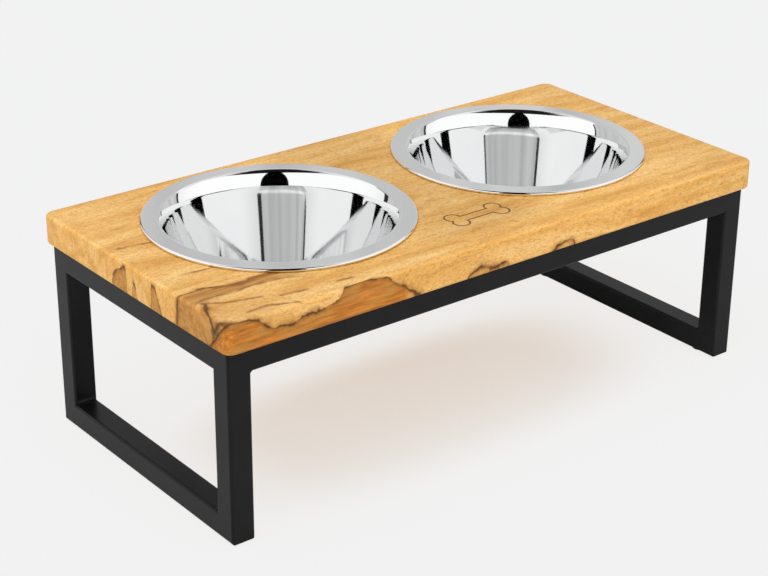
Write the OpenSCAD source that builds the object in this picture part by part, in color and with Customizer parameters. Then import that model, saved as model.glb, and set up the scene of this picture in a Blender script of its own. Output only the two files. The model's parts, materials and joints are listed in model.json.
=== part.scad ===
// Raised dog feeder: a thick wooden board on a welded square-tube stand, with two steel bowls
// that drop into holes in the board and lift straight out.
// Millimetres. +X is the right-hand end, -Y the front and +Z up. The origin is on the floor,
// under the middle of the board.

/* [Bowls] */
// Diameter of a bowl's mouth, inside its rim
mouth_d = 180; // [160:1:190]
// Width of the rim round the mouth
rim_w = 13.5; // [11:0.5:18]
// Slope of the rim down to its lip, in degrees
rim_slope = 2; // [0:1:8]
// Radius of the rolled lip round the rim
lip_r = 1.5; // [1:0.1:2]
// Radius of the bend from rim to shoulder
bend_r = 3; // [1.5:0.1:4]
// Radius of the rounded shoulder from bend to wall
shoulder_r = 30; // [15:1:40]
// Lean of the shoulder from upright at its top, in degrees
shoulder_lean = 35; // [25:1:45]
// Depth of a bowl inside, from its mouth
bowl_depth = 80; // [50:1:90]
// Lean of the wall from upright, in degrees
wall_lean = 12.2; // [8:0.1:18]
// Radius inside the bowl between wall and bottom
bottom_r = 8; // [5:0.5:14]
// Thickness of the steel sheet
sheet = 0.8; // [0.6:0.1:1.2]
// Gap between the two rims
rim_gap = 30; // [10:1:60]
// Gap under the lip of a bowl at rest
seat_gap = 0.1; // [0.05:0.05:0.3]

/* [Board] */
// Thickness of the board
board_t = 24; // [20:0.5:32]
// Board past the rims at each end
end_margin = 33; // [20:0.5:60]
// Board in front of the rims
front_margin = 29.5; // [12:0.5:50]
// Board behind the rims
rear_margin = 10.5; // [8:0.5:40]
// Radius of the four upright corners
corner_r = 8; // [5:0.5:15]
// Radius of the eased edges round the top and the bottom
edge_r = 2.5; // [1:0.5:4]
// Room round a bowl in its hole
hole_gap = 2; // [1:0.5:4]

/* [Stand] */
// Outside width of the square tube
tube = 19; // [16:0.5:21]
// Wall of the tube
tube_wall = 1.5; // [1:0.1:2]
// Outside corner radius of the tube
tube_r = 2; // [1.5:0.1:2.4]
// Height of the stand, without its pads
stand_h = 149.5; // [120:0.5:300]
// Overhang of the board past the stand at each end
end_overhang = 4; // [0:0.5:12]
// Overhang of the board past the stand at front and rear
side_overhang = 6; // [2:0.5:8]
// Leg of the hollow weld in each inside corner
weld = 4; // [2:0.5:6]

/* [Fixings] */
// Length of each side of a corner tab
tab_l = 26; // [20:1:34]
// Thickness of a corner tab
tab_t = 3; // [2.6:0.1:5]
// Corner cut off a tab on its inner side
tab_cut = 10; // [2:0.5:12]
// Diameter of a wood screw's shank
screw_d = 4; // [3:0.5:5]
// Depth of a wood screw in the board
screw_bite = 13; // [8:1:17]
// Length of a wood screw's point
point_l = 4; // [2:0.5:6]
// Diameter of a screw's head
head_d = 8; // [6.5:0.5:9]
// Diameter of the flat on a screw's head
head_flat_d = 5.6; // [4.5:0.1:6.2]
// Height of the upright side of a screw's head
head_side = 1.7; // [1:0.1:2.5]
// Height of the slope on a screw's head
head_slope = 1.1; // [0.5:0.1:1.6]
// Length of each arm of the cross recess, end to end
recess_l = 4; // [3:0.1:4.2]
// Width of each arm of the cross recess
recess_w = 1.1; // [0.6:0.1:1.4]
// Depth of the cross recess
recess_depth = 1.7; // [0.8:0.1:2.4]
// Room round a screw in its tab
screw_gap = 0.4; // [0.2:0.1:1]
// Room round a screw's shank in the board
pilot_gap = 0.05; // [0.02:0.01:0.2]
// Room past a screw's point in the board
pilot_room = 1; // [0.5:0.1:1.5]

/* [Pads] */
// Diameter of a floor pad
pad_d = 14; // [10:0.5:15]
// Thickness of a floor pad
pad_t = 1.5; // [1:0.1:4]
// Centre of a floor pad in from the end of its rail
pad_inset = 22; // [12:1:40]

/* [Hidden] */
$fn = 96;

// Sides of the object: the sign of x or y on each
left = -1;
right = 1;
front = -1;
rear = 1;

// Board and bowls
mouth_r = mouth_d / 2;
rim_r = mouth_r + rim_w;
bowl_x = rim_r + rim_gap / 2;
bowl_y = (front_margin - rear_margin) / 2;
board_l = 2 * (bowl_x + rim_r + end_margin);
board_w = 2 * rim_r + front_margin + rear_margin;
hole_r = mouth_r + sheet + hole_gap;

// Heights
stand_top = pad_t + stand_h;
board_top = stand_top + board_t;

// Stand: half sizes over its tubes, and the inside corner that each tab sits in
stand_x = board_l / 2 - end_overhang;
stand_y = board_w / 2 - side_overhang;
tab_x = stand_x - tube;
tab_y = stand_y - tube;
screw_x = tab_x - tab_l / 2;
screw_y = tab_y - tab_l / 2;
cut = 1;
point_d = 0.6;

steel = [0.80, 0.81, 0.81];
black = [0.16, 0.16, 0.16];
honey = [0.90, 0.70, 0.42];
zinc = [0.62, 0.62, 0.60];
rubber = [0.10, 0.10, 0.10];

function arc(centre, r, from, to, steps = 10) = [
    for (i = [0:steps])
        let (a = from + (to - from) * i / steps)
        centre + r * [cos(a), sin(a)]
];

// Flat shapes

module rounded_rect(l, w, r) {
    square([l - 2 * r, w], center = true);
    square([l, w - 2 * r], center = true);
    for (x = [-1, 1], y = [-1, 1])
        translate([x * (l / 2 - r), y * (w / 2 - r)]) circle(r);
}

module tube_section() {
    inner = tube - 2 * tube_wall;
    difference() {
        rounded_rect(tube, tube, tube_r);
        rounded_rect(inner, inner, max(tube_r - tube_wall, 0.4));
    }
}

// Hollow corner between two walls that meet at the origin
module hollow_fillet(r) {
    difference() {
        square(r);
        translate([r, r]) circle(r);
    }
}

// Section through half a bowl: lip, sloping rim, bend, rounded shoulder, leaning wall and flat bottom.
// Height 0 is the underside of the lip.
module bowl_section() {
    lip = [rim_r - lip_r, lip_r];
    rim_up = 90 - rim_slope;
    shoulder_in = 180 - shoulder_lean;
    wall_in = 180 - wall_lean;
    hem = acos((lip_r - sheet) / lip_r);
    rim_start = lip + lip_r * [cos(rim_up), sin(rim_up)];
    mouth = [mouth_r, rim_start.y + (rim_start.x - mouth_r) * tan(rim_slope)];
    bend_run = bend_r * tan((shoulder_in - rim_up) / 2);
    bend = mouth + bend_run * [cos(rim_slope), -sin(rim_slope)] - bend_r * [cos(rim_up), sin(rim_up)];
    shoulder = bend - (shoulder_r - bend_r) * [cos(shoulder_in), sin(shoulder_in)];
    wall_top = shoulder + shoulder_r * [cos(wall_in), sin(wall_in)];
    floor_z = mouth.y - bowl_depth;
    wall_end_z = floor_z + bottom_r * (1 - sin(wall_lean));
    wall_end_r = wall_top.x - (wall_top.y - wall_end_z) * tan(wall_lean);
    foot = [wall_end_r - bottom_r * cos(wall_lean), floor_z + bottom_r];
    polygon(concat(
        arc(lip, lip_r, rim_up + hem, 360 + rim_up, 20),
        arc(bend, bend_r, rim_up, shoulder_in),
        arc(shoulder, shoulder_r, shoulder_in, wall_in),
        arc(foot, bottom_r, -wall_lean, -90),
        [[0, floor_z], [0, floor_z - sheet]],
        arc(foot, bottom_r + sheet, -90, -wall_lean),
        arc(shoulder, shoulder_r - sheet, wall_in, shoulder_in),
        arc(bend, bend_r - sheet, shoulder_in, rim_up)
    ));
}

// Board: rounded upright corners, with the same eased edge all round top and bottom
module wood_top() {
    module eased_puck() {
        rotate_extrude() intersection() {
            rounded_rect(2 * corner_r, board_t, edge_r);
            translate([0, -board_t]) square([2 * corner_r, 2 * board_t]);
        }
    }
    module slab() {
        translate([0, 0, board_t / 2]) {
            rotate([90, 0, 90]) linear_extrude(board_l - 2 * corner_r, center = true)
                rounded_rect(board_w, board_t, edge_r);
            rotate([90, 0, 0]) linear_extrude(board_w - 2 * corner_r, center = true)
                rounded_rect(board_l, board_t, edge_r);
            for (x = [left, right], y = [front, rear])
                translate([x * (board_l / 2 - corner_r), y * (board_w / 2 - corner_r), 0]) eased_puck();
        }
    }
    color(honey) translate([0, 0, stand_top]) difference() {
        slab();
        for (x = [left, right])
            translate([x * bowl_x, bowl_y, -cut]) cylinder(r = hole_r, h = board_t + 2 * cut);
        for (x = [left, right], y = [front, rear])
            translate([x * screw_x, y * screw_y, -cut])
                cylinder(d = screw_d + 2 * pilot_gap, h = screw_bite + pilot_room + cut);
    }
}

module bowl(side) {
    color(steel) translate([side * bowl_x, bowl_y, board_top + seat_gap])
        rotate_extrude() bowl_section();
}

// Square-cut tube along X, in the middle of the frame's own axes
module straight_tube(l) {
    rotate([90, 0, 90]) linear_extrude(l, center = true) tube_section();
}

// Tube along X with both ends mitred: its long face lies at height 0, its short face above
module mitred_tube(l) {
    intersection() {
        translate([0, 0, tube / 2]) straight_tube(l);
        rotate([90, 0, 0]) linear_extrude(tube + 2 * cut, center = true)
            polygon([[-l / 2, 0], [l / 2, 0], [l / 2 - tube, tube], [tube - l / 2, tube]]);
    }
}

module long_rail(y) {
    color(black) translate([0, y * (stand_y - tube / 2), stand_top - tube / 2])
        straight_tube(2 * tab_x);
}

module bottom_rail(x) {
    color(black) translate([x * (stand_x - tube / 2), 0, pad_t])
        rotate([0, 0, 90]) mitred_tube(2 * stand_y);
}

module top_rail(x) {
    color(black) translate([x * (stand_x - tube / 2), 0, stand_top])
        rotate([180, 0, 90]) mitred_tube(2 * stand_y);
}

module post(x, y) {
    color(black) translate([x * (stand_x - tube / 2), y * stand_y, pad_t + stand_h / 2])
        rotate([0, 0, y * 90]) rotate([0, -90, 0]) mitred_tube(stand_h);
}

// Hollow welds in the four inside corners of one end loop
module end_welds(x) {
    run = tube - 2 * tube_r;
    color(black) for (y = [front, rear], up = [0, 1])
        translate([x * (stand_x - tube / 2), y * tab_y, up ? stand_top - tube : pad_t + tube])
            mirror([0, y == front ? 0 : 1, 0]) mirror([0, 0, up])
            rotate([90, 0, 90]) linear_extrude(run, center = true) hollow_fillet(weld);
}

// Welds of one long rail's end: a hollow one under it, and the ground-flush ones that fill the
// seams beside it on its outer and upper faces
module rail_end_welds(x, y) {
    translate([x * tab_x, y * stand_y, stand_top]) mirror([x == left ? 0 : 1, 0, 0])
        mirror([0, y == front ? 0 : 1, 0]) {
            translate([0, tube / 2, -tube]) mirror([0, 0, 1]) rotate([90, 0, 0])
                linear_extrude(tube - 2 * tube_r, center = true) hollow_fillet(weld);
            translate([0, 0, -tube]) mirror([1, 0, 0])
                translate([0, 0, tube_r]) linear_extrude(tube - 2 * tube_r) hollow_fillet(tube_r);
            translate([0, tube - tube_r, 0]) mirror([1, 0, 0]) mirror([0, 0, 1]) rotate([90, 0, 0])
                linear_extrude(tube - 2 * tube_r) hollow_fillet(tube_r);
        }
}

module long_rail_welds() {
    color(black) for (x = [left, right], y = [front, rear]) rail_end_welds(x, y);
}

// Flat plate in an inside corner of the stand, level with its top, drilled for one screw
module tab(x, y) {
    color(black) mirror([x == left ? 0 : 1, 0, 0]) mirror([0, y == front ? 0 : 1, 0])
        translate([-tab_x, -tab_y, stand_top - tab_t]) difference() {
            linear_extrude(tab_t) polygon([
                [0, 0], [tab_l, 0], [tab_l, tab_l - tab_cut], [tab_l - tab_cut, tab_l], [0, tab_l]
            ]);
            translate([tab_l / 2, tab_l / 2, -cut])
                cylinder(d = screw_d + 2 * screw_gap, h = tab_t + 2 * cut);
        }
}

// Pan-headed screw, point up, with a cross recess; height 0 is the seat of its head
module screw() {
    shank = tab_t + screw_bite;
    head_h = head_side + head_slope;
    difference() {
        union() {
            cylinder(d = screw_d, h = shank - point_l);
            translate([0, 0, shank - point_l]) cylinder(d1 = screw_d, d2 = point_d, h = point_l);
            translate([0, 0, -head_side]) cylinder(d = head_d, h = head_side);
            translate([0, 0, -head_h]) cylinder(d1 = head_flat_d, d2 = head_d, h = head_slope);
        }
        for (turn = [0, 90])
            rotate(turn) translate([-recess_l / 2, -recess_w / 2, -head_h - cut])
                cube([recess_l, recess_w, recess_depth + cut]);
    }
}

module wood_screws() {
    color(zinc) for (x = [left, right], y = [front, rear])
        translate([x * screw_x, y * screw_y, stand_top - tab_t]) screw();
}

module pad(x, y) {
    color(rubber) translate([x * (stand_x - tube / 2), y * (stand_y - pad_inset), 0])
        cylinder(d = pad_d, h = pad_t);
}

wood_top();
bowl(left);  // bowl_left
bowl(right);  // bowl_right
long_rail(front);  // front_rail
long_rail(rear);  // rear_rail
top_rail(left);  // left_top_rail
bottom_rail(left);  // left_bottom_rail
post(left, front);  // front_left_post
post(left, rear);  // rear_left_post
top_rail(right);  // right_top_rail
bottom_rail(right);  // right_bottom_rail
post(right, front);  // front_right_post
post(right, rear);  // rear_right_post
end_welds(left);  // left_end_welds
end_welds(right);  // right_end_welds
long_rail_welds();
tab(left, front);  // front_left_tab
tab(left, rear);  // rear_left_tab
tab(right, front);  // front_right_tab
tab(right, rear);  // rear_right_tab
wood_screws();
pad(left, front);  // front_left_pad
pad(left, rear);  // rear_left_pad
pad(right, front);  // front_right_pad
pad(right, rear);  // rear_right_pad
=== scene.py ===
"""Looks of a raised dog feeder: spalted mango board, black powder-coated stand and two polished bowls."""

import json
import math

import bpy
from mathutils import Matrix, Vector


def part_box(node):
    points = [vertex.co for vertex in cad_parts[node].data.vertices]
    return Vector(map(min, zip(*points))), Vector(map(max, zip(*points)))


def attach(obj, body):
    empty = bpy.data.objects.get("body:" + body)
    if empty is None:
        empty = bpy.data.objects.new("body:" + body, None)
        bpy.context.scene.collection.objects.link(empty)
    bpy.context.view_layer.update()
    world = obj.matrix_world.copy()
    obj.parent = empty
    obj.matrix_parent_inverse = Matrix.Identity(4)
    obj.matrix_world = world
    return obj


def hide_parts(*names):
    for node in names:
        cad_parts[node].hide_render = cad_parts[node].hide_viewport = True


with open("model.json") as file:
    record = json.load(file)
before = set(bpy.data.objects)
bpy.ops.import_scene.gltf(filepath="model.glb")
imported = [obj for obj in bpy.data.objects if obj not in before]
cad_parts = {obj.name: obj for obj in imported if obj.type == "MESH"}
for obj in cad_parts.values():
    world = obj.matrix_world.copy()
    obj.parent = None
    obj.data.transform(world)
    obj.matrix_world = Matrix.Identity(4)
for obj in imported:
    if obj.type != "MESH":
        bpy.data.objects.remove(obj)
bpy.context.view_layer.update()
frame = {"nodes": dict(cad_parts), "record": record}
nodes = frame["nodes"]

# Sizes, in metres, repeated from the part's own where the frame doesn't give them
MM = 0.001
RIM_WIDTH = 13.5 * MM
RIM_SLOPE = math.radians(2)
LIP_RADIUS = 1.5 * MM
BEND_RADIUS = 3 * MM
SHOULDER_RADIUS = 30 * MM
SHOULDER_LEAN = math.radians(35)
WALL_LEAN = math.radians(12.2)
BOTTOM_RADIUS = 8 * MM
SHEET = 0.8 * MM
SEAT_GAP = 0.1 * MM

# The camera, as the photograph was taken
IMAGE_WIDTH = 768
SENSOR_WIDTH = 36
VIEW_AZIMUTH = math.radians(-38.245)
VIEW_ELEVATION = math.radians(24.602)
VIEW_ROLL = math.radians(0.411)
VIEW_DISTANCE = 1.4958
VIEW_TARGET = Vector((-0.02945, -0.00411, 0.09671))
VIEW_REACH = 50
FOCAL_PIXELS = 1909.4

# Plain studio light: level from all round, from a broad panel at the left front and from overhead
FILL_LEVEL, PANEL_LEVEL, SUN_LEVEL = 0.25, 1.68, 0.40
PANEL_SIDE = Vector((-0.60, -0.73, 0.35)).normalized()
PANEL_FADE = (0.15, 0.9)
SUN_SIDE = Vector((-0.20, -0.05, 1.0))
SUN_SPREAD = math.radians(60)
# The pale grey behind the object, and the white in reflections, which fades to that grey at the back
BACKGROUND_LEVEL = 0.887
MIRROR_LEVEL = 1.14
MIRROR_FADE = (150, 92)
MIRROR_BOUNCES = 12


class Nodes:
    """Short calls that build a node tree."""

    def __init__(self, tree):
        self.tree = tree
        self.tree.nodes.clear()

    def add(self, kind, **settings):
        node = self.tree.nodes.new(kind)
        for name, value in settings.items():
            setattr(node, name, value)
        return node

    def put(self, socket, value):
        if isinstance(value, bpy.types.NodeSocket):
            self.tree.links.new(value, socket)
        elif isinstance(value, tuple) and len(socket.default_value) == 4:
            socket.default_value = (*value, 1.0)
        else:
            socket.default_value = value

    def math(self, operation, a, b=0.0, clamp=False):
        node = self.add("ShaderNodeMath", operation=operation, use_clamp=clamp)
        self.put(node.inputs[0], a)
        self.put(node.inputs[1], b)
        return node.outputs[0]

    def vector(self, operation, a, b=(0.0, 0.0, 0.0)):
        node = self.add("ShaderNodeVectorMath", operation=operation)
        self.put(node.inputs[0], a)
        self.put(node.inputs[1], b)
        scalar = operation in ("DOT_PRODUCT", "DISTANCE", "LENGTH")
        return node.outputs["Value" if scalar else "Vector"]

    def times(self, vector, factors):
        return self.vector("MULTIPLY", vector, factors)

    def place(self):
        """The point's place in the object's frame, in millimetres."""
        return self.times(self.add("ShaderNodeTexCoord").outputs["Object"], (1 / MM, 1 / MM, 1 / MM))

    def split(self, vector):
        node = self.add("ShaderNodeSeparateXYZ")
        self.put(node.inputs[0], vector)
        return node.outputs

    def join(self, x, y, z):
        node = self.add("ShaderNodeCombineXYZ")
        for socket, value in zip(node.inputs, (x, y, z)):
            self.put(socket, value)
        return node.outputs[0]

    def noise(self, vector, size, detail=2.0, roughness=0.5):
        """Noise from 0 to 1 whose lumps are about size across; size may differ along x, y and z."""
        sizes = size if isinstance(size, tuple) else (size, size, size)
        node = self.add("ShaderNodeTexNoise")
        self.put(node.inputs["Vector"], self.times(vector, tuple(1 / s for s in sizes)))
        self.put(node.inputs["Scale"], 1.0)
        self.put(node.inputs["Detail"], detail)
        self.put(node.inputs["Roughness"], roughness)
        self.put(node.inputs["Distortion"], 0.0)
        return node.outputs["Fac"]

    def step(self, value, low, high):
        """0 below low, 1 above high and smooth between; low may be the larger one."""
        node = self.add("ShaderNodeMapRange", interpolation_type="SMOOTHSTEP")
        self.put(node.inputs["Value"], value)
        self.put(node.inputs["From Min"], low)
        self.put(node.inputs["From Max"], high)
        return node.outputs["Result"]

    def range(self, value, low, high):
        """Stretches 0 to 1 over low to high."""
        node = self.add("ShaderNodeMapRange")
        self.put(node.inputs["Value"], value)
        self.put(node.inputs["To Min"], low)
        self.put(node.inputs["To Max"], high)
        return node.outputs["Result"]

    def blend(self, factor, a, b):
        """The number a where factor is 0, b where it is 1."""
        node = self.add("ShaderNodeMix", data_type="FLOAT")
        self.put(node.inputs[0], factor)
        self.put(node.inputs[2], a)
        self.put(node.inputs[3], b)
        return node.outputs[0]

    def ramp(self, value, *stops):
        """A colour that follows value through stops, each (value, colour)."""
        node = self.add("ShaderNodeValToRGB")
        self.put(node.inputs[0], value)
        band = node.color_ramp.elements
        while len(band) < len(stops):
            band.new(0.5)
        for element, (position, colour) in zip(band, stops):
            element.position = position
            element.color = (*colour, 1.0)
        return node.outputs["Color"]

    def mix(self, factor, a, b, blend="MIX"):
        """The colour a where factor is 0; where it is 1, b, or a and b put together as blend says."""
        node = self.add("ShaderNodeMix", data_type="RGBA", blend_type=blend)
        self.put(node.inputs[0], factor)
        self.put(node.inputs[6], a)
        self.put(node.inputs[7], b)
        return node.outputs[2]

    def curve(self, value, points, low, high):
        """A curve through points, each (value, result); results lie between low and high."""
        first, last = points[0][0], points[-1][0]
        node = self.add("ShaderNodeFloatCurve")
        share = self.math("DIVIDE", self.math("SUBTRACT", value, first), last - first, clamp=True)
        self.put(node.inputs["Value"], share)
        line = node.mapping.curves[0].points
        while len(line) < len(points):
            line.new(0.5, 0.5)
        for dot, (at, result) in zip(line, points):
            dot.location = ((at - first) / (last - first), (result - low) / (high - low))
            dot.handle_type = "AUTO_CLAMPED"
        node.mapping.update()
        return self.range(node.outputs[0], low, high)


class Material(Nodes):
    """A node tree that ends in one shader."""

    def __init__(self, name):
        self.material = bpy.data.materials.new(name)
        self.material.use_nodes = True
        super().__init__(self.material.node_tree)
        self.shader = self.add("ShaderNodeBsdfPrincipled")
        output = self.add("ShaderNodeOutputMaterial")
        self.tree.links.new(self.shader.outputs["BSDF"], output.inputs["Surface"])

    def look(self, **sockets):
        """Sets the shader's sockets: Base_Color=..., Roughness=..."""
        for name, value in sockets.items():
            self.put(self.shader.inputs[name.replace("_", " ")], value)

    def bump(self, height, strength, distance):
        node = self.add("ShaderNodeBump")
        self.put(node.inputs["Strength"], strength)
        self.put(node.inputs["Distance"], distance)
        self.put(node.inputs["Height"], height)
        self.put(self.shader.inputs["Normal"], node.outputs[0])


def give(piece, material):
    """Puts one material on every slot of a piece."""
    piece.data.materials.clear()
    piece.data.materials.append(material)


def new_piece(name, verts, faces):
    """A new mesh in the scene."""
    mesh = bpy.data.meshes.new(name)
    mesh.from_pydata(verts, [], faces)
    piece = bpy.data.objects.new(name, mesh)
    bpy.context.collection.objects.link(piece)
    return piece


# The wood's figure, in millimetres on the board: x along it, y across it, height above its underside

BOARD_LOW, BOARD_HIGH = (corner / MM for corner in map(Vector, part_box("wood_top")))
BOARD_THICK = BOARD_HIGH.z - BOARD_LOW.z
# How far a face's normal points along x, from no end to an end, and up or down, from level to upright
END_FACING, UPRIGHT_FACING = (0.5, 0.95), (0.9, 0.3)

# The grain's layers: a noise is its lumps' size along x, y and z, its detail and its roughness; a fade is
# the noise at which a layer starts, the noise at which it is full, and its strength there
SWAY, SWAY_REACH = ((120, 60, 60), 3, 0.5), 18
RIPPLE, RIPPLE_REACH = ((17, 9, 9), 3, 0.6), 5
BANDS, BAND_STOPS = ((120, 14, 14), 3, 0.55), (0.30, 0.46, 0.62)
CLOUDS, CLOUD_FADE = ((18, 7, 7), 4, 0.65), (0.48, 0.72, 0.50)
LONG_STREAKS, LONG_FADE = ((30, 2.8, 2.8), 4, 0.7), (0.52, 0.72, 0.45)
END_STREAKS, END_FADE = ((90, 2.4, 24), 4, 0.6), (0.52, 0.72, 0.40)
FLECKS, FLECK_FADE = ((3.6, 1.5, 1.5), 3, 0.7), (0.48, 0.70, 0.62)
PORES, PORE_FADE = ((9, 0.9, 0.9), 2, 0.5), (0.61, 0.74, 0.35)
SPECKS, SPECK_RANGE = (1.4, 2), (0.76, 1.24)
# How much of the long streaks and pores is lost on the board's ends
END_LOSS = 0.75

# How light the board is along its length, how much darker between the bowls, and painted shade on its
# upright faces
BOARD_TONE = [(-255, 0.97), (-150, 0.95), (0, 0.97), (120, 0.99), (190, 0.94), (255, 0.88)]
BOARD_TONE_RANGE = (0.8, 1.0)
MIDDLE_SHADE, MIDDLE_HALF, MIDDLE_FRONT = 0.17, (80, 20), (-108, -92)
# Painted shade: the upright faces' tint, a little darker and warmer than the top, stands in for the light on
# them
UPRIGHT_PAINTED_SHADE = (0.99, 0.955, 0.90)

# Dark zone line along the front face: how high the orange wood under it reaches at each x
FRONT_ZONE = [
    (-255, 26), (-245, 25.5), (-229, 21), (-207, 10.5), (-190, 13.5), (-168, 15), (-160, 20),
    (-154, 26), (-132, 25.5), (-115, 18), (-106, 12), (-87, 0), (-70, -4), (-51, -4), (-46, 2.5),
    (-31, 7), (-23, 3), (-11, 5), (-2, -4), (28, -4), (37, 1), (50, 5.5), (57, 5), (64, -4), (255, -4),
]
# Tan peaks on the left end: how high they reach at each y
LEFT_ZONE = [
    (-123.5, -4), (-47, -4), (-42, 3), (-37, 13), (-33, 20), (-31, 20), (-29, 8), (-28, -4), (-13, -4),
    (-10, 4), (-8, 12), (-6, 13), (-4.5, 6), (-3, -4), (2, -4), (3.5, 16), (5, 21), (9, 19), (15, 16),
    (20, 12), (23, 5), (26, -4), (123.5, -4),
]
ZONE_LOW, ZONE_HIGH = -5, 35
# How fast each zone dies away into the board, in millimetres of height for one of depth
FRONT_DEPTH_FADE, LEFT_DEPTH_FADE = 1.2, 1.5
# How strongly each zone colours the wood; the front one is faint where it reaches less high
FRONT_FULL, FRONT_STRENGTH = (7.0, 12.0), (0.25, 0.92)
LEFT_STRENGTH = 0.85

# A zone's two tones and olive patches, and its colour and brown rind by how far inside its edge a point lies
ZONE_TONE, ZONE_TONE_FADE = ((30, 3.0, 3.0), 4, 0.65), (0.36, 0.64)
ZONE_PATCH, ZONE_PATCH_FADE = ((26, 7, 7), 3, 0.6), (0.48, 0.64, 0.65)
ZONE_EDGE = (-0.6, 1.0)
RIND_INNER, RIND_OUTER, RIND_STRENGTH = (5.0, 0.2), (-1.2, 0.2), 0.6

# The ragged edges of zones and marks, as a noise and its reach, and each one's share of them
COARSE_RAGGED, COARSE_REACH = (9, 3, 0.6), 6
FINE_RAGGED, FINE_REACH = (2.2, 3, 0.6), 2.6
LEFT_RAGGED, LEFT_SWAY, MARKS_RAGGED = 0.8, 1.4, 0.6

# Dark lines: width and strength, each as the size of its lumps, the noise from low to high, and the limits
LINE_WIDTH = (13, (0.35, 0.68), (0.45, 1.9))
LINE_BREAKS = (11, (0.34, 0.55), (0.45, 1.0))
LEFT_LINE_WIDTH = 0.7
# Reach of a line's halo and of its core, in line widths, and how strongly each colours the wood
HALO_REACH, HALO_STRENGTH = 4.5, 0.62
CORE_REACH, CORE_FULL, CORE_STRENGTH = 1.4, 0.2, 0.85

# Marks that run up the left end and on along the top: each point is how far past the end's upper edge,
# and y; a fade is how far from its line a mark starts, how near it is full, and its strength there
BAND_UPPER = [(-24, -62), (0, -64), (22, -64.5), (36, -69), (51, -72), (58, -69), (80, -72), (108, -86)]
BAND_LOWER = [
    (-24, -101), (-9, -93), (0, -85), (13, -79.5), (34, -81), (51, -80), (72, -83), (90, -88), (108, -88),
]
BAND_LOW, BAND_HIGH = -110, -55
BAND_END, BAND_STRENGTH = (104, 60), 0.88
BAND_UPPER_EDGE, BAND_LOWER_EDGE, BAND_LINE_EDGE = (-0.8, 1.2), (-3.5, 2.5), (-1.0, 0.5)
BAND_UPPER_WIDTH, BAND_LOWER_STRENGTH = 0.8, 0.6
# The flame along the left bowl's near rim is partly a dark streak in the wood and partly painted shade: it
# darkens the board where the rim's lip shadows it
FLAME_AND_RIM_SHADE = [(28, -68.5), (41, -72.5), (52, -72), (61, -70), (70, -70.5), (80, -74), (92, -81)]
FLAME_AND_RIM_SHADE_RAGGED, FLAME_AND_RIM_SHADE_FADE = 2.0, (5.0, 1.2, 0.85)
CORNER_LINE = [(8, -86), (3, -95), (-1, -104), (-10, -108), (-9, -110.5), (-1, -115), (1, -120)]
CORNER_LINE_WIDTH = 1.8
CORNER_CLOUD, CORNER_CLOUD_FADE = [(10, -100), (34, -113)], (26, 6, 0.35)
CORNER_SHADE, CORNER_SHADE_FADE = [(-2, -92), (-16, -104)], (11, 2, 0.75)
CORNER_SPOT, CORNER_SPOT_FADE = [(-10, -108), (-14, -109)], (5, 1, 0.8)
STREAKS = [
    [(6, -85), (25, -94), (45, -99)],
    [(57, -106), (77, -108)],
    [(102, -110), (113, -111)],
    [(23, -114), (40, -113), (60, -121)],
    [(24, -36), (48, -39)],
    [(10, 30), (34, 26)],
]
STREAK_FADE = (3.2, 0.5, 0.85)

# A plain bone outline, burnt into the top between the bowls: its knobs, its bar, its line and its depth
MARK_CENTRE = (2, -76)
MARK_KNOB = 6.4
MARK_HALF = (19.5, 4.4)
MARK_SPREAD = 5.2
MARK_LINE_FROM, MARK_LINE_FULL, MARK_STRENGTH = 0.975, 0.45, 0.88
MARK_DEPTH = 0.5

# Colours of the wood, of its stained zones and of the burnt mark
HONEY_DARK, HONEY, HONEY_PALE = (0.69, 0.350, 0.084), (0.83, 0.476, 0.143), (0.91, 0.577, 0.218)
FLECK, PORE = (0.50, 0.215, 0.043), (0.34, 0.138, 0.030)
ORANGE_DARK, ORANGE_LIGHT = (0.36, 0.110, 0.012), (0.62, 0.225, 0.032)
TAN_DARK, TAN_LIGHT = (0.36, 0.150, 0.030), (0.56, 0.265, 0.064)
OLIVE = (0.42, 0.215, 0.048)
ZONE_RIND = (0.27, 0.105, 0.024)
ZONE_LINE = (0.085, 0.033, 0.010)
CORNER_DARK = (0.090, 0.060, 0.014)
BURNT = (0.085, 0.034, 0.012)

# The lacquer, and the relief of streaks and pores under it
LACQUER_LUMPS, LACQUER_ROUGHNESS, LACQUER_SPECULAR = ((40, 6, 6), 2), (0.42, 0.58), 0.1
STREAK_RELIEF, PORE_RELIEF = 0.2, 0.5
WOOD_BUMP = (0.15, 0.2 * MM)


def tapered(n, value, low, high, strength):
    """0 up to low, rising to strength at high."""
    return n.math("MULTIPLY", n.step(value, low, high), strength)


def layer(n, place, noise, fade):
    """How strongly a layer of the grain shows."""
    return tapered(n, n.noise(place, *noise), *fade)


def swing(n, place, noise, reach):
    """Noise about 0, over reach in all."""
    return n.math("MULTIPLY", n.math("SUBTRACT", n.noise(place, *noise), 0.5), reach)


def uneven(n, place, size, fade, limits):
    """A number that wanders between two limits, in lumps of about size."""
    return n.range(n.step(n.noise(place, size), *fade), *limits)


def board_tone(n, place, x, y):
    """How light the wood is along the board and between the bowls, with fine specks."""
    specks = n.range(n.noise(place, *SPECKS), *SPECK_RANGE)
    tone = n.math("MULTIPLY", n.curve(x, BOARD_TONE, *BOARD_TONE_RANGE), specks)
    middle = n.math("MULTIPLY", n.step(n.math("ABSOLUTE", x), *MIDDLE_HALF), n.step(y, *MIDDLE_FRONT))
    return n.math("MULTIPLY", tone, n.range(middle, 1.0, 1.0 - MIDDLE_SHADE))


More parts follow.
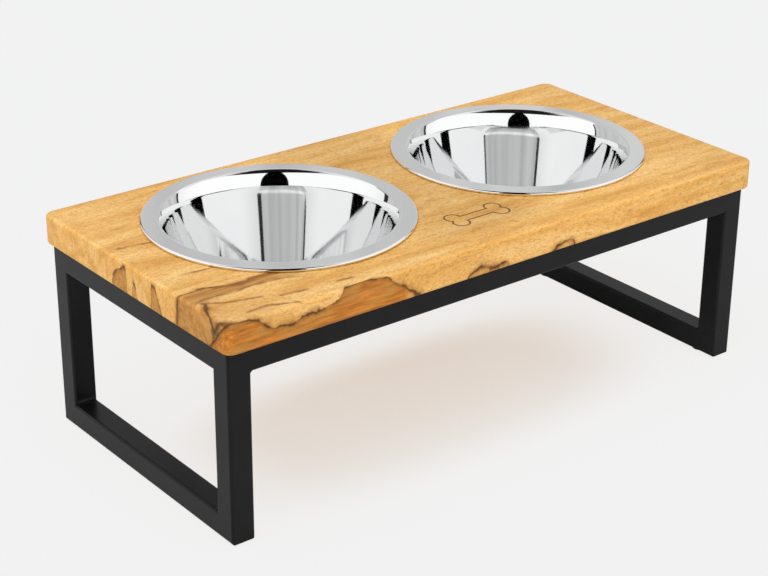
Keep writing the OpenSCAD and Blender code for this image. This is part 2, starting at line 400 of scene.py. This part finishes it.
def grain(n, place, on_end, upright):
    """Honey-coloured wood with broad bands, brown streaks, flecks and fine pores, drawn out along x."""
    x, y, z = n.split(place)
    sway = n.math("ADD", swing(n, place, SWAY, SWAY_REACH), swing(n, place, RIPPLE, RIPPLE_REACH))
    place = n.join(x, n.math("ADD", y, sway), n.math("ADD", z, sway))
    along = n.math("SUBTRACT", 1.0, n.math("MULTIPLY", on_end, END_LOSS))

    colour = n.ramp(n.noise(place, *BANDS), *zip(BAND_STOPS, (HONEY_DARK, HONEY, HONEY_PALE)))
    colour = n.mix(layer(n, place, CLOUDS, CLOUD_FADE), colour, HONEY_DARK)
    streak = n.noise(place, *LONG_STREAKS)
    long_streaks = n.math("MULTIPLY", tapered(n, streak, *LONG_FADE), along)
    end_streaks = n.math("MULTIPLY", layer(n, place, END_STREAKS, END_FADE), on_end)
    colour = n.mix(n.math("ADD", long_streaks, end_streaks), colour, FLECK)
    colour = n.mix(layer(n, place, FLECKS, FLECK_FADE), colour, FLECK)
    pores = n.math("MULTIPLY", layer(n, place, PORES, PORE_FADE), along)
    colour = n.mix(pores, colour, PORE)

    tone = board_tone(n, place, x, y)
    colour = n.mix(1.0, colour, n.join(tone, tone, tone), "MULTIPLY")
    # Painted shade: upright faces tinted a little darker and warmer than the top, for how the light falls on
    # them
    colour = n.mix(upright, colour, n.mix(1.0, colour, UPRIGHT_PAINTED_SHADE, "MULTIPLY"))
    return colour, pores, streak


def zone(n, reach, height, depth, fade, ragged):
    """How far inside a stained zone a point lies, in millimetres; 0 is the zone's edge."""
    inside = n.math("SUBTRACT", n.math("SUBTRACT", reach, height), n.math("MULTIPLY", depth, fade))
    return n.math("ADD", inside, ragged)


def dark_line(n, colour, distance, width, strength):
    """A dark line of uneven width with a soft brown halo; distance is from its middle, in millimetres."""
    halo = n.math("MULTIPLY", n.step(distance, n.math("MULTIPLY", width, HALO_REACH), 0.0), HALO_STRENGTH)
    colour = n.mix(n.math("MULTIPLY", halo, strength), colour, ZONE_RIND)
    core = n.step(distance, n.math("MULTIPLY", width, CORE_REACH), n.math("MULTIPLY", width, CORE_FULL))
    core = n.math("MULTIPLY", n.math("MULTIPLY", core, strength), CORE_STRENGTH)
    return n.mix(core, colour, ZONE_LINE)


def stained(n, colour, inside, dark, light, tones, width, strength):
    """Colours a zone in uneven patches, browner towards its edge, with a dark line along the edge."""
    tone, patch, breaks = tones
    body = n.mix(n.step(tone, *ZONE_TONE_FADE), dark, light)
    body = n.mix(tapered(n, patch, *ZONE_PATCH_FADE), body, OLIVE)
    colour = n.mix(n.math("MULTIPLY", n.step(inside, *ZONE_EDGE), strength), colour, body)
    rind = n.math("MULTIPLY", n.step(inside, *RIND_INNER), n.step(inside, *RIND_OUTER))
    colour = n.mix(n.math("MULTIPLY", n.math("MULTIPLY", rind, breaks), RIND_STRENGTH), colour, ZONE_RIND)
    return dark_line(n, colour, n.math("ABSOLUTE", inside), width, breaks)


def from_line(n, flat, points):
    """Distance, in millimetres, of a point on the unfolded board from a line through points."""
    nearest = None
    for start, end in zip(points, points[1:]):
        run = Vector((*end, 0)) - Vector((*start, 0))
        offset = n.vector("SUBTRACT", flat, (*start, 0.0))
        along = n.vector("DOT_PRODUCT", offset, tuple(run))
        share = n.math("DIVIDE", along, run.length_squared, clamp=True)
        distance = n.vector("DISTANCE", offset, n.times(share, tuple(run)))
        nearest = distance if nearest is None else n.math("MINIMUM", nearest, distance)
    return nearest


def tan_band(n, colour, past_edge, y, tones, width):
    """The tan band that crosses from the left end onto the top and dies away there."""
    tone, _, breaks = tones
    upper = n.math("SUBTRACT", n.curve(past_edge, BAND_UPPER, BAND_LOW, BAND_HIGH), y)
    lower = n.math("SUBTRACT", y, n.curve(past_edge, BAND_LOWER, BAND_LOW, BAND_HIGH))
    fade = n.step(past_edge, *BAND_END)
    body = n.mix(n.step(tone, *ZONE_TONE_FADE), TAN_DARK, TAN_LIGHT)
    inside = n.math("MULTIPLY", n.step(upper, *BAND_UPPER_EDGE), n.step(lower, *BAND_LOWER_EDGE))
    colour = n.mix(n.math("MULTIPLY", n.math("MULTIPLY", inside, fade), BAND_STRENGTH), colour, body)
    upper_line = n.math("MULTIPLY", n.step(lower, *BAND_LINE_EDGE), fade)
    colour = dark_line(n, colour, n.math("ABSOLUTE", upper), n.math("MULTIPLY", width, BAND_UPPER_WIDTH),
                       n.math("MULTIPLY", breaks, upper_line))
    fainter = n.math("MULTIPLY", fade, BAND_LOWER_STRENGTH)
    lower_line = n.math("MULTIPLY", n.step(upper, *BAND_LINE_EDGE), fainter)
    return dark_line(n, colour, n.math("ABSOLUTE", lower), width, n.math("MULTIPLY", breaks, lower_line))


def end_marks(n, colour, past_edge, y, ragged, tones, width):
    """The tan band, the dark corner line, the flame along the left bowl's rim, which is partly painted shade
    of the rim, and the loose streaks of the left end and the top beside it.
    """
    tone, patch, breaks = tones
    y = n.math("ADD", y, ragged)
    colour = tan_band(n, colour, past_edge, y, tones, width)

    flat = n.join(past_edge, y, 0.0)
    # Partly painted shade: a dark brown streak hugging the left bowl's near rim
    flame_and_rim_shade = n.math("ADD", from_line(n, flat, FLAME_AND_RIM_SHADE), n.math("MULTIPLY", patch, FLAME_AND_RIM_SHADE_RAGGED))
    colour = n.mix(tapered(n, flame_and_rim_shade, *FLAME_AND_RIM_SHADE_FADE), colour, ZONE_RIND)
    colour = n.mix(tapered(n, from_line(n, flat, CORNER_CLOUD), *CORNER_CLOUD_FADE), colour, TAN_LIGHT)
    colour = n.mix(tapered(n, from_line(n, flat, CORNER_SHADE), *CORNER_SHADE_FADE), colour, TAN_LIGHT)
    corner_width = n.math("MULTIPLY", width, CORNER_LINE_WIDTH)
    colour = dark_line(n, colour, from_line(n, flat, CORNER_LINE), corner_width, 1.0)
    colour = n.mix(tapered(n, from_line(n, flat, CORNER_SPOT), *CORNER_SPOT_FADE), colour, CORNER_DARK)
    for points in STREAKS:
        distance = n.math("ADD", from_line(n, flat, points), tone)
        colour = n.mix(n.math("MULTIPLY", tapered(n, distance, *STREAK_FADE), breaks), colour, ZONE_RIND)
    return colour


def bone_outline(n, x, y, height):
    """1 on the burnt line of the bone, 0 elsewhere."""
    along = n.math("ABSOLUTE", n.math("SUBTRACT", x, MARK_CENTRE[0]))
    across = n.math("ABSOLUTE", n.math("SUBTRACT", y, MARK_CENTRE[1]))
    past_end = n.math("SUBTRACT", along, MARK_HALF[0])
    bar = n.math("MAXIMUM", past_end, n.math("SUBTRACT", across, MARK_HALF[1]))
    from_knob = n.vector("LENGTH", n.join(past_end, n.math("SUBTRACT", across, MARK_SPREAD), 0.0))
    knob = n.math("SUBTRACT", from_knob, MARK_KNOB)
    distance = n.math("ABSOLUTE", n.math("MINIMUM", bar, knob))
    on_top = n.math("GREATER_THAN", height, BOARD_THICK - MARK_DEPTH)
    return n.math("MULTIPLY", n.step(distance, MARK_LINE_FROM, MARK_LINE_FULL), on_top)


def wood():
    n = Material("spalted_mango")
    place = n.place()
    x, y, z = n.split(place)
    height = n.math("SUBTRACT", z, BOARD_LOW.z)
    facing = n.split(n.add("ShaderNodeNewGeometry").outputs["Normal"])
    on_end = n.step(n.math("ABSOLUTE", facing[0]), *END_FACING)
    upright = n.step(n.math("ABSOLUTE", facing[2]), *UPRIGHT_FACING)
    colour, pores, streak = grain(n, place, on_end, upright)

    fine = swing(n, place, FINE_RAGGED, FINE_REACH)
    ragged = n.math("ADD", swing(n, place, COARSE_RAGGED, COARSE_REACH), fine)
    width = uneven(n, place, *LINE_WIDTH)
    tones = (n.noise(place, *ZONE_TONE), n.noise(place, *ZONE_PATCH), uneven(n, place, *LINE_BREAKS))

    from_left = n.math("SUBTRACT", x, BOARD_LOW.x)
    from_front = n.math("SUBTRACT", y, BOARD_LOW.y)
    below_top = n.math("SUBTRACT", BOARD_THICK, height)
    past_edge = n.math("SUBTRACT", from_left, below_top)
    swayed = n.math("ADD", y, n.math("MULTIPLY", fine, LEFT_SWAY))
    left_reach = n.curve(swayed, LEFT_ZONE, ZONE_LOW, ZONE_HIGH)
    left_ragged = n.math("MULTIPLY", ragged, LEFT_RAGGED)
    left = zone(n, left_reach, height, from_left, LEFT_DEPTH_FADE, left_ragged)
    front_reach = n.curve(x, FRONT_ZONE, ZONE_LOW, ZONE_HIGH)
    front = zone(n, front_reach, height, from_front, FRONT_DEPTH_FADE, ragged)
    front_strength = n.range(n.step(front_reach, *FRONT_FULL), *FRONT_STRENGTH)

    marks_ragged = n.math("MULTIPLY", ragged, MARKS_RAGGED)
    colour = end_marks(n, colour, past_edge, y, marks_ragged, tones, width)
    left_width = n.math("MULTIPLY", width, LEFT_LINE_WIDTH)
    colour = stained(n, colour, left, TAN_DARK, TAN_LIGHT, tones, left_width, LEFT_STRENGTH)
    colour = stained(n, colour, front, ORANGE_DARK, ORANGE_LIGHT, tones, width, front_strength)
    mark = bone_outline(n, x, y, height)
    colour = n.mix(n.math("MULTIPLY", mark, MARK_STRENGTH), colour, BURNT)

    raised = n.math("MULTIPLY", streak, STREAK_RELIEF)
    relief = n.math("SUBTRACT", raised, n.math("MULTIPLY", pores, PORE_RELIEF))
    n.bump(n.math("SUBTRACT", relief, mark), *WOOD_BUMP)
    n.look(Base_Color=colour, Roughness=n.range(n.noise(place, *LACQUER_LUMPS), *LACQUER_ROUGHNESS))
    n.shader.inputs["Specular IOR Level"].default_value = LACQUER_SPECULAR
    return n.material


# Metal and rubber: each has two colours and a roughness range, both spread by noises, and all but the
# polished steel have a fine bump

COAT_COLOURS, COAT_STOPS = ((0.0036, 0.0036, 0.0039), (0.0056, 0.0056, 0.0060)), (0.35, 0.65)
COAT_CLOUDS, COAT_LUMPS, COAT_PEEL = (38, 2), (6, 3), (1.1, 3, 0.6)
COAT_ROUGHNESS, COAT_SPECULAR, COAT_BUMP = (0.27, 0.36), 0.175, (0.25, 0.12 * MM)

STEEL_COLOURS = (0.845, 0.85, 0.855), (0.87, 0.872, 0.87)
STEEL_CLOUDS, STEEL_SMEARS, STEEL_ROUGHNESS = (60, 2), ((24, 24, 9), 3, 0.55), (0.02, 0.06)

ZINC_COLOURS = (0.46, 0.45, 0.42), (0.66, 0.64, 0.58)
ZINC_CLOUDS, ZINC_LUMPS, ZINC_GRAINS = (1.5, 3), (0.6, 2), (0.3, 2)
ZINC_ROUGHNESS, ZINC_BUMP = (0.28, 0.45), (0.2, 0.05 * MM)

RUBBER_COLOURS = (0.014, 0.014, 0.014), (0.028, 0.027, 0.026)
RUBBER_CLOUDS, RUBBER_LUMPS, RUBBER_GRAINS = (2.5, 3), (0.8, 2), (0.5, 2)
RUBBER_ROUGHNESS, RUBBER_BUMP = (0.70, 0.88), (0.4, 0.1 * MM)

COLOUR_STOPS = (0.3, 0.7)


def clouded(n, place, noise, colours, stops=COLOUR_STOPS):
    """A colour that drifts between two."""
    return n.ramp(n.noise(place, *noise), *zip(stops, colours))


def powder_coat():
    n = Material("black_powder_coat")
    place = n.place()
    n.look(Base_Color=clouded(n, place, COAT_CLOUDS, COAT_COLOURS, COAT_STOPS),
           Roughness=n.range(n.noise(place, *COAT_LUMPS), *COAT_ROUGHNESS))
    n.shader.inputs["Specular IOR Level"].default_value = COAT_SPECULAR
    n.bump(n.noise(place, *COAT_PEEL), *COAT_BUMP)
    return n.material


def polished_steel():
    n = Material("polished_steel")
    place = n.place()
    n.look(Base_Color=clouded(n, place, STEEL_CLOUDS, STEEL_COLOURS),
           Roughness=n.range(n.noise(place, *STEEL_SMEARS), *STEEL_ROUGHNESS))
    n.shader.inputs["Metallic"].default_value = 1.0
    return n.material


def zinc():
    n = Material("zinc_plate")
    place = n.place()
    n.look(Base_Color=clouded(n, place, ZINC_CLOUDS, ZINC_COLOURS),
           Roughness=n.range(n.noise(place, *ZINC_LUMPS), *ZINC_ROUGHNESS))
    n.shader.inputs["Metallic"].default_value = 1.0
    n.bump(n.noise(place, *ZINC_GRAINS), *ZINC_BUMP)
    return n.material


def pad_rubber():
    n = Material("pad_rubber")
    place = n.place()
    n.look(Base_Color=clouded(n, place, RUBBER_CLOUDS, RUBBER_COLOURS),
           Roughness=n.range(n.noise(place, *RUBBER_LUMPS), *RUBBER_ROUGHNESS))
    n.bump(n.noise(place, *RUBBER_GRAINS), *RUBBER_BUMP)
    return n.material


# Bowls

RING_STEPS = 224
LIP_STEPS, BEND_STEPS, SHOULDER_STEPS, FOOT_STEPS = 24, 12, 24, 14


def arc(centre, radius, start, end, steps, facing):
    """Points of a section, each (radius, height, normal); facing is 1 where the arc's outside shows."""
    points = []
    for i in range(steps + 1):
        angle = start + (end - start) * i / steps
        out = (math.cos(angle), math.sin(angle))
        points.append((centre[0] + radius * out[0], centre[1] + radius * out[1],
                       facing * out[0], facing * out[1]))
    return points


def bowl_section(rim_radius, lip_height, floor_height):
    """Half a bowl's section as a closed outline: lip, rim, shoulder, wall, bottom and back up outside."""
    mouth_radius = rim_radius - RIM_WIDTH
    lip = (rim_radius - LIP_RADIUS, lip_height + LIP_RADIUS)
    rim_up = math.pi / 2 - RIM_SLOPE
    shoulder_in = math.pi - SHOULDER_LEAN
    wall_in = math.pi - WALL_LEAN
    hem = math.acos((LIP_RADIUS - SHEET) / LIP_RADIUS)
    rim_start = (lip[0] + LIP_RADIUS * math.cos(rim_up), lip[1] + LIP_RADIUS * math.sin(rim_up))
    mouth_height = rim_start[1] + (rim_start[0] - mouth_radius) * math.tan(RIM_SLOPE)
    run = BEND_RADIUS * math.tan((shoulder_in - rim_up) / 2)
    bend = (mouth_radius + run * math.cos(RIM_SLOPE) - BEND_RADIUS * math.cos(rim_up),
            mouth_height - run * math.sin(RIM_SLOPE) - BEND_RADIUS * math.sin(rim_up))
    growth = SHOULDER_RADIUS - BEND_RADIUS
    shoulder = (bend[0] - growth * math.cos(shoulder_in), bend[1] - growth * math.sin(shoulder_in))
    wall_top = (shoulder[0] + SHOULDER_RADIUS * math.cos(wall_in),
                shoulder[1] + SHOULDER_RADIUS * math.sin(wall_in))
    wall_end_height = floor_height + BOTTOM_RADIUS * (1 - math.sin(WALL_LEAN))
    wall_end_radius = wall_top[0] - (wall_top[1] - wall_end_height) * math.tan(WALL_LEAN)
    foot = (wall_end_radius - BOTTOM_RADIUS * math.cos(WALL_LEAN), floor_height + BOTTOM_RADIUS)
    down = -math.pi / 2
    under = floor_height - SHEET
    return (
        arc(lip, LIP_RADIUS, rim_up + hem, 2 * math.pi + rim_up, LIP_STEPS, 1)
        + arc(bend, BEND_RADIUS, rim_up, shoulder_in, BEND_STEPS, 1)
        + arc(shoulder, SHOULDER_RADIUS, shoulder_in, wall_in, SHOULDER_STEPS, 1)[1:]
        + arc(foot, BOTTOM_RADIUS, -WALL_LEAN, down, FOOT_STEPS, -1)
        + [(0.0, floor_height, 0.0, 1.0), (0.0, under, 0.0, -1.0)]
        + arc(foot, BOTTOM_RADIUS + SHEET, down, -WALL_LEAN, FOOT_STEPS, 1)
        + arc(shoulder, SHOULDER_RADIUS - SHEET, wall_in, shoulder_in, SHOULDER_STEPS, -1)
        + arc(bend, BEND_RADIUS - SHEET, shoulder_in, rim_up, BEND_STEPS, -1)[1:]
    )


def lathe(name, section, centre):
    """Turns a closed section about the upright axis through centre, with exact normals."""
    verts, normals, rings = [], [], []
    for radius, height, nr, nz in section:
        count = 1 if radius == 0.0 else RING_STEPS
        rings.append([len(verts) + i for i in range(count)])
        for i in range(count):
            turn = 2 * math.pi * i / RING_STEPS
            c, s = math.cos(turn), math.sin(turn)
            verts.append((centre[0] + radius * c, centre[1] + radius * s, height))
            normals.append((nr * c, nr * s, nz))
    faces = []
    for a, b in zip(rings, rings[1:] + rings[:1]):
        if len(a) == 1 and len(b) == 1:
            continue
        for i in range(RING_STEPS):
            j = (i + 1) % RING_STEPS
            if len(b) == 1:
                faces.append((a[i], a[j], b[0]))
            elif len(a) == 1:
                faces.append((a[0], b[j], b[i]))
            else:
                faces.append((a[i], a[j], b[j], b[i]))
    piece = new_piece(name, verts, faces)
    for face in piece.data.polygons:
        face.use_smooth = True
    piece.data.normals_split_custom_set_from_vertices(normals)
    return piece


def make_bowl(node, body, material):
    low, high = (Vector(corner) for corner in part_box(node))
    centre = (low + high) / 2
    board_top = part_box("wood_top")[1][2]
    section = bowl_section((high.y - low.y) / 2, board_top + SEAT_GAP, low.z + SHEET)
    piece = lathe(f"{node}_polished", section, centre)
    give(piece, material)
    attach(piece, body)
    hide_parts(node)


# Studio: a pale floor, soft light, and the dark and grey panels that only reflections show

FLOOR_HALF = 12.0
FLOOR_LIT, FLOOR_GLOW = (0.19, 0.31, 0.41), (0.680, 0.556, 0.454)
FLOOR_CLEAR = (BACKGROUND_LEVEL, BACKGROUND_LEVEL, BACKGROUND_LEVEL)
FLOOR_BOUNCE = (0.75, 0.75, 0.75)
FLOOR_ROUGHNESS = 0.9
# Where the floor shows the object's shadow, in millimetres: a rounded oblong whose strength fades outwards
SHADE_CENTRE, SHADE_HALF, SHADE_FADE = (-8, -28), (205, 98), (1.2, 0.6)
SHADE_ROUNDING, SHADE_RANGE = 3.0, (0.2, 1.0)
BLACK, WHITE = (0.0, 0.0, 0.0), (1.0, 1.0, 1.0)

# The hood and the camera's shape, in metres and in degrees from level and to each side of the front; the
# cap's degrees are from straight up
BOWL_HEIGHT = 0.175
HOOD_MIDDLE = Vector((0, 0, BOWL_HEIGHT))
HOOD_LOW, HOOD_SPREAD, HOOD_RADIUS, HOOD_CAP, HOOD_STEPS = 43, 100, 4.0, 12, 24
HOOD_FADE, HOOD_SIDE, HOOD_CENTRE = (80, 40), 0.9, 0.01
STAND_IN_DISTANCE, STAND_IN_SIDE = 0.80, 0.010
STAND_IN_LOW, STAND_IN_HIGH, STAND_IN_HALF = -12, 50, 14
STAND_IN_ROUNDING, STAND_IN_STEPS = 3, 20

# The grey screen behind, in metres: its ends, its dark edges, its pale band, its dark top and their levels
BACKDROP_ENDS = ((-0.200, 0.420), (0.520, -0.020))
BACKDROP_HEIGHT, BACKDROP_EDGE, BACKDROP_EDGE_GAP = 1.3, 0.072, 2 * MM
BACKDROP_PALE_FROM, BACKDROP_PALE_TO, BACKDROP_DARK = (0.44, 0.49), (0.53, 0.68), (1.04, 1.10)
BACKDROP_LOW, BACKDROP_HIGH, BACKDROP_LINE = 0.62, 1.08, 0.03
BACKDROP_FOLD, BACKDROP_FOLD_RANGE = 0.11, (0.45, 1.55)


def camera_axes():
    azimuth, elevation, roll = VIEW_AZIMUTH, VIEW_ELEVATION, VIEW_ROLL
    back = Vector((math.sin(azimuth) * math.cos(elevation), -math.cos(azimuth) * math.cos(elevation),
                   math.sin(elevation)))
    right = Vector((0, 0, 1)).cross(back).normalized()
    up = back.cross(right)
    turned_right = right * math.cos(roll) + up * math.sin(roll)
    turned_up = up * math.cos(roll) - right * math.sin(roll)
    return turned_right, turned_up, back


def front_direction():
    """The level direction towards the camera, and the one to its right."""
    front = Vector((math.sin(VIEW_AZIMUTH), -math.cos(VIEW_AZIMUTH), 0))
    return front, Vector((0, 0, 1)).cross(front)


def make_camera():
    right, up, back = camera_axes()
    data = bpy.data.cameras.new("camera")
    data.sensor_width = SENSOR_WIDTH
    data.lens = FOCAL_PIXELS / IMAGE_WIDTH * data.sensor_width
    data.clip_end = VIEW_REACH
    camera = bpy.data.objects.new("camera", data)
    bpy.context.collection.objects.link(camera)
    turn = Matrix((right, up, back)).transposed()
    camera.matrix_world = Matrix.Translation(VIEW_TARGET + back * VIEW_DISTANCE) @ turn.to_4x4()
    bpy.context.scene.camera = camera


def make_world():
    """Soft light, mostly from the left front; pale grey for the camera; white that reflections show."""
    world = bpy.data.worlds.new("studio")
    world.use_nodes = True
    n = Nodes(world.node_tree)
    path = n.add("ShaderNodeLightPath").outputs
    front, _ = front_direction()
    direction = n.add("ShaderNodeTexCoord").outputs["Generated"]
    ahead = n.vector("DOT_PRODUCT", direction, tuple(front))
    behind, aside = (math.cos(math.radians(angle)) for angle in MIRROR_FADE)
    mirror = n.range(n.step(ahead, behind, aside), BACKGROUND_LEVEL, MIRROR_LEVEL)
    towards_panel = n.vector("DOT_PRODUCT", direction, tuple(PANEL_SIDE))
    fill = n.range(n.step(towards_panel, *PANEL_FADE), FILL_LEVEL, PANEL_LEVEL)
    level = n.blend(path["Is Glossy Ray"], fill, mirror)
    level = n.blend(path["Is Camera Ray"], level, BACKGROUND_LEVEL)
    light = n.add("ShaderNodeBackground")
    n.put(light.inputs["Color"], WHITE)
    n.put(light.inputs["Strength"], level)
    output = n.add("ShaderNodeOutputWorld")
    n.tree.links.new(light.outputs[0], output.inputs["Surface"])
    bpy.context.scene.world = world


def make_sun():
    """A broad soft light from overhead, which reflections don't show."""
    data = bpy.data.lights.new("soft_key", "SUN")
    data.energy = SUN_LEVEL * math.pi
    data.angle = SUN_SPREAD
    sun = bpy.data.objects.new("soft_key", data)
    sun.rotation_euler = SUN_SIDE.to_track_quat("Z", "Y").to_euler()
    sun.visible_glossy = False
    bpy.context.collection.objects.link(sun)


def make_floor():
    """A pale floor, in reflections too; the camera sees a soft, warm shadow that fades outwards."""
    corners = [(x * FLOOR_HALF, y * FLOOR_HALF, 0) for x, y in ((-1, -1), (1, -1), (1, 1), (-1, 1))]
    floor = new_piece("floor", corners, [(0, 1, 2, 3)])
    n = Material("pale_floor")
    rounded = 0.0
    for at, centre, reach in zip(n.split(n.place()), SHADE_CENTRE, SHADE_HALF):
        share = n.math("ABSOLUTE", n.math("DIVIDE", n.math("SUBTRACT", at, centre), reach))
        rounded = n.math("ADD", n.math("POWER", share, SHADE_ROUNDING), rounded)
    outwards = n.math("POWER", rounded, 1 / SHADE_ROUNDING)
    shaded = n.range(n.step(outwards, *SHADE_FADE), *SHADE_RANGE)
    seen = n.add("ShaderNodeLightPath").outputs["Is Camera Ray"]
    lit = n.mix(shaded, BLACK, FLOOR_LIT)
    n.look(Base_Color=n.mix(seen, FLOOR_BOUNCE, lit), Roughness=FLOOR_ROUGHNESS,
           Emission_Color=n.mix(shaded, FLOOR_CLEAR, FLOOR_GLOW), Emission_Strength=seen)
    n.shader.inputs["Specular IOR Level"].default_value = 0.0
    give(floor, n.material)


def make_card(name, verts, faces, level):
    """A surface that only reflections show; level is its brightness, or a function that works it out."""
    card = new_piece(name, verts, faces)
    n = Material(name)
    strength = level(n) if callable(level) else level
    n.look(Base_Color=BLACK, Roughness=1.0, Emission_Color=WHITE, Emission_Strength=strength)
    n.shader.inputs["Specular IOR Level"].default_value = 0.0
    give(card, n.material)
    card.visible_camera = False
    card.visible_diffuse = False
    card.visible_shadow = False
    card.visible_transmission = False
    card.visible_volume_scatter = False


def hood_level(n):
    """Nearly black towards the camera and overhead, pale at the sides."""
    front, _ = front_direction()
    x, y, z = n.split(n.add("ShaderNodeTexCoord").outputs["Object"])
    ahead = n.vector("DOT_PRODUCT", n.vector("NORMALIZE", n.join(x, y, 0.0)), tuple(front))
    side, centre = (math.cos(math.radians(angle)) for angle in HOOD_FADE)
    overhead = HOOD_RADIUS * math.cos(math.radians(HOOD_CAP))
    dark = n.math("MAXIMUM", n.step(ahead, side, centre), n.math("GREATER_THAN", z, overhead))
    return n.range(dark, HOOD_SIDE, HOOD_CENTRE)


def dome_patch(spread, low):
    """Part of a dome: spread degrees to each side of the front, from low degrees up to the top."""
    front, right = front_direction()
    verts = []
    for j in range(HOOD_STEPS + 1):
        lift = math.radians(low + (90 - low) * j / HOOD_STEPS)
        up = Vector((0, 0, math.sin(lift)))
        for i in range(HOOD_STEPS + 1):
            turn = math.radians(spread * (2 * i / HOOD_STEPS - 1))
            flat = front * math.cos(turn) + right * math.sin(turn)
            verts.append(HOOD_MIDDLE + HOOD_RADIUS * (flat * math.cos(lift) + up))
    row = HOOD_STEPS + 1
    faces = [(j * row + i, j * row + i + 1, (j + 1) * row + i + 1, (j + 1) * row + i)
             for j in range(HOOD_STEPS) for i in range(HOOD_STEPS)]
    return verts, faces


def make_hood():
    """A dark hood in front and overhead, and the cap that carries it a little past the top."""
    make_card("front_hood", *dome_patch(HOOD_SPREAD, HOOD_LOW), hood_level)
    make_card("hood_cap", *dome_patch(180, 90 - HOOD_CAP), HOOD_CENTRE)


def make_stand_in():
    """The dark, round-topped shape of the camera on its stand."""
    front, right = front_direction()
    foot = front * STAND_IN_DISTANCE + right * STAND_IN_SIDE
    left_edge, right_edge = [], []
    for j in range(STAND_IN_STEPS + 1):
        lift = STAND_IN_LOW + (STAND_IN_HIGH - STAND_IN_LOW) * j / STAND_IN_STEPS
        narrowing = math.sqrt(1 - (max(lift, 0) / STAND_IN_HIGH) ** STAND_IN_ROUNDING)
        half = STAND_IN_DISTANCE * math.tan(math.radians(STAND_IN_HALF)) * narrowing
        up = Vector((0, 0, BOWL_HEIGHT + STAND_IN_DISTANCE * math.tan(math.radians(lift))))
        left_edge.append(foot + up - right * half)
        right_edge.append(foot + up + right * half)
    outline = left_edge + right_edge[::-1]
    make_card("camera_shape", outline, [tuple(range(len(outline)))], 0.0)


def backdrop_level(n):
    """Grey with soft upright folds, a pale band across it and a dark top."""
    place = n.add("ShaderNodeTexCoord").outputs["Object"]
    height = n.split(place)[2]
    pale = n.math("SUBTRACT", n.step(height, *BACKDROP_PALE_FROM), n.step(height, *BACKDROP_PALE_TO))
    level = n.range(pale, BACKDROP_LOW, BACKDROP_HIGH)
    level = n.blend(n.step(height, *BACKDROP_DARK), level, BACKDROP_LINE)
    fold = n.noise(place, (BACKDROP_FOLD, BACKDROP_FOLD, BACKDROP_HEIGHT))
    return n.math("MULTIPLY", level, n.range(fold, *BACKDROP_FOLD_RANGE))


def make_backdrop():
    """The grey screen behind, with a dark strip down each side of its lower part."""
    left, right = (Vector((*corner, 0)) for corner in BACKDROP_ENDS)
    along = (right - left).normalized()
    nearer = along.cross(Vector((0, 0, 1))) * BACKDROP_EDGE_GAP

    def board(name, start, end, high, level):
        top = Vector((0, 0, high))
        make_card(name, [start, end, end + top, start + top], [(0, 1, 2, 3)], level)

    board("backdrop", left, right, BACKDROP_HEIGHT, backdrop_level)
    for side, start in (("left", left), ("right", right - along * BACKDROP_EDGE)):
        start = start + nearer
        end = start + along * BACKDROP_EDGE
        board(f"backdrop_{side}_edge", start, end, BACKDROP_PALE_FROM[1], BACKDROP_LINE)


def make_studio():
    bpy.context.scene.cycles.glossy_bounces = MIRROR_BOUNCES
    make_world()
    make_sun()
    make_floor()
    make_hood()
    make_stand_in()
    make_backdrop()


def dress():
    """Gives each CAD piece the finish of its slot, and puts the polished bowls in place of the CAD ones."""
    finishes = {"stand": powder_coat(), "board": wood(), "screw": zinc(), "pad": pad_rubber()}
    for part in frame["record"]["subparts"]:
        slot = part["material_slot"]
        if slot in finishes:
            give(nodes[part["node"]], finishes[slot])
    steel = polished_steel()
    make_bowl("bowl_left", "left_bowl", steel)
    make_bowl("bowl_right", "right_bowl", steel)


make_camera()
make_studio()
dress()
bpy.context.scene.view_settings.view_transform = "Standard"
